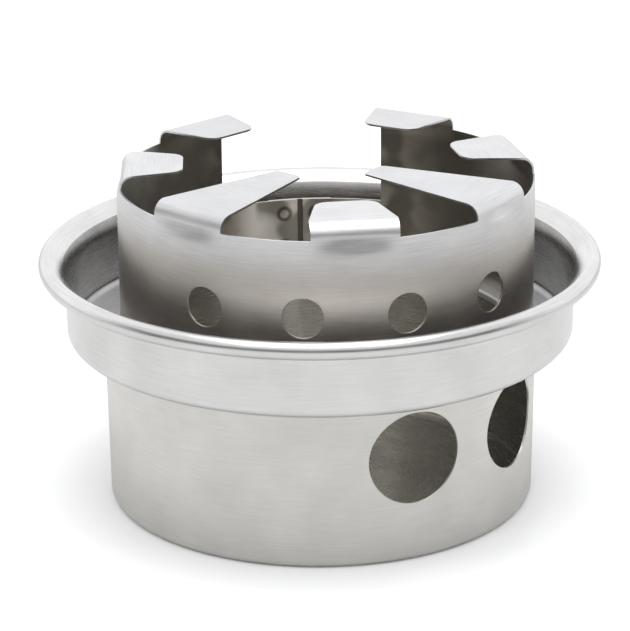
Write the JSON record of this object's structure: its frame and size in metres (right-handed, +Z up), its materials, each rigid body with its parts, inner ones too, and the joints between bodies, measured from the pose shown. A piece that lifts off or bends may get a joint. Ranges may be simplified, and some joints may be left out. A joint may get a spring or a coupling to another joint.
{
  "type": "hobo stove",
  "caption": "Small wood-burning stove: a fire cup with air holes under a rimmed tray, and a lift-off ring with inward-folded pot tabs, vent holes and a fuel port.",
  "frame": {"origin": "Centre of the stove's rest plane, on the axis of the cup and tray.", "axes": "+Z up. The front is -Y. The fuel port is at the back, and the two air holes are at the front right."},
  "size_m": [0.185, 0.185, 0.1135],
  "materials": {
    "cup_steel": "brushed",
    "tray_steel": "brushed",
    "ring_steel": "brushed"
  },
  "bodies": {
    "base": {"fire_cup": "cup_steel", "drip_tray": "tray_steel"},
    "ring": {"pot_ring": "ring_steel", "seam_strap": "ring_steel"}
  },
  "joints": [
    {"name": "ring_lift", "type": "slide", "parent": "base", "child": "ring", "axis": [0, 0, 1], "range_m": [0, 0.06]}
  ]
}
